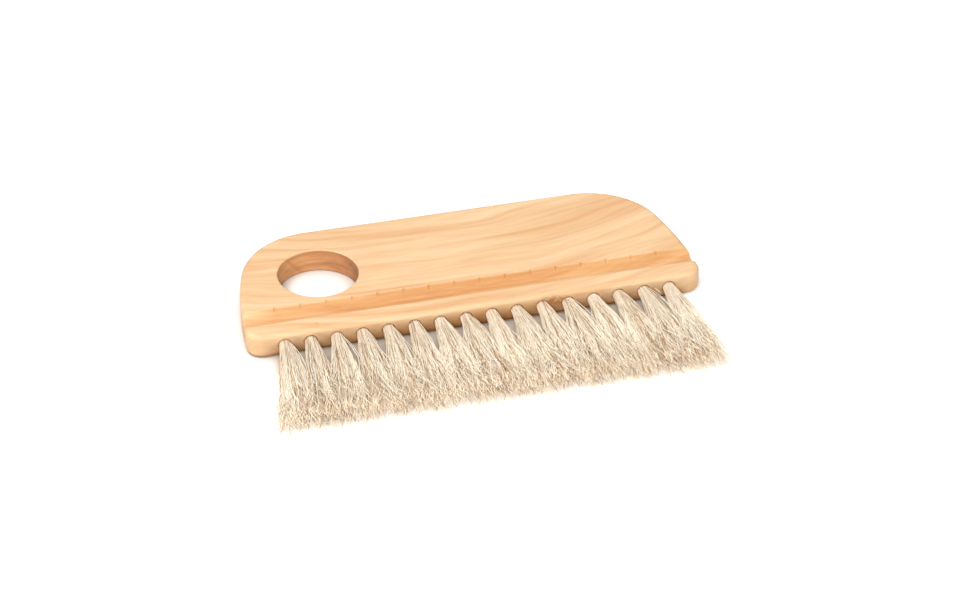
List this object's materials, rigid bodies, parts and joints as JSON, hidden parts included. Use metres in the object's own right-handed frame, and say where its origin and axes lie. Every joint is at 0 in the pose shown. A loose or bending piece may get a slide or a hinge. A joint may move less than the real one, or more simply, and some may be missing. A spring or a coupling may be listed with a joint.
{
  "type": "clothes brush",
  "caption": "Flat wooden clothes brush with a finger hole at one end and a row of fanned horsehair tufts drawn into its front edge by wire.",
  "frame": {"origin": "centre of the finger hole, halfway through the block's thickness", "axes": "+X along the block, away from the finger hole; the tufts point to -Y; +Z out of the grooved face"},
  "size_m": [0.2, 0.1281, 0.011],
  "materials": {
    "pine": "planed and sanded bare pine with a thin dull wax",
    "horsehair": "bleached natural hair, slightly glossy along each hair",
    "wire": "drawn bright wire, slightly dulled"
  },
  "bodies": {
    "block": {"block": "pine", "drawing_wire": "wire", "wire_tacks": "wire", "tuft_root_01": "horsehair", "tuft_root_02": "horsehair", "tuft_root_03": "horsehair", "tuft_root_04": "horsehair", "tuft_root_05": "horsehair", "tuft_root_06": "horsehair", "tuft_root_07": "horsehair", "tuft_root_08": "horsehair", "tuft_root_09": "horsehair", "tuft_root_10": "horsehair", "tuft_root_11": "horsehair", "tuft_root_12": "horsehair", "tuft_root_13": "horsehair", "tuft_root_14": "horsehair", "tuft_root_15": "horsehair", "tuft_root_16": "horsehair"},
    "bristle_row": {"tuft_01": "horsehair", "tuft_02": "horsehair", "tuft_03": "horsehair", "tuft_04": "horsehair", "tuft_05": "horsehair", "tuft_06": "horsehair", "tuft_07": "horsehair", "tuft_08": "horsehair", "tuft_09": "horsehair", "tuft_10": "horsehair", "tuft_11": "horsehair", "tuft_12": "horsehair", "tuft_13": "horsehair", "tuft_14": "horsehair", "tuft_15": "horsehair", "tuft_16": "horsehair"}
  },
  "joints": [
    {"name": "bristle_flex", "type": "hinge", "parent": "block", "child": "bristle_row", "pos_m": [0.06125, -0.042, 0], "axis": [1, 0, 0], "range_deg": [-30, 30], "stiffness_Nm_per_rad": 0.09}
  ]
}
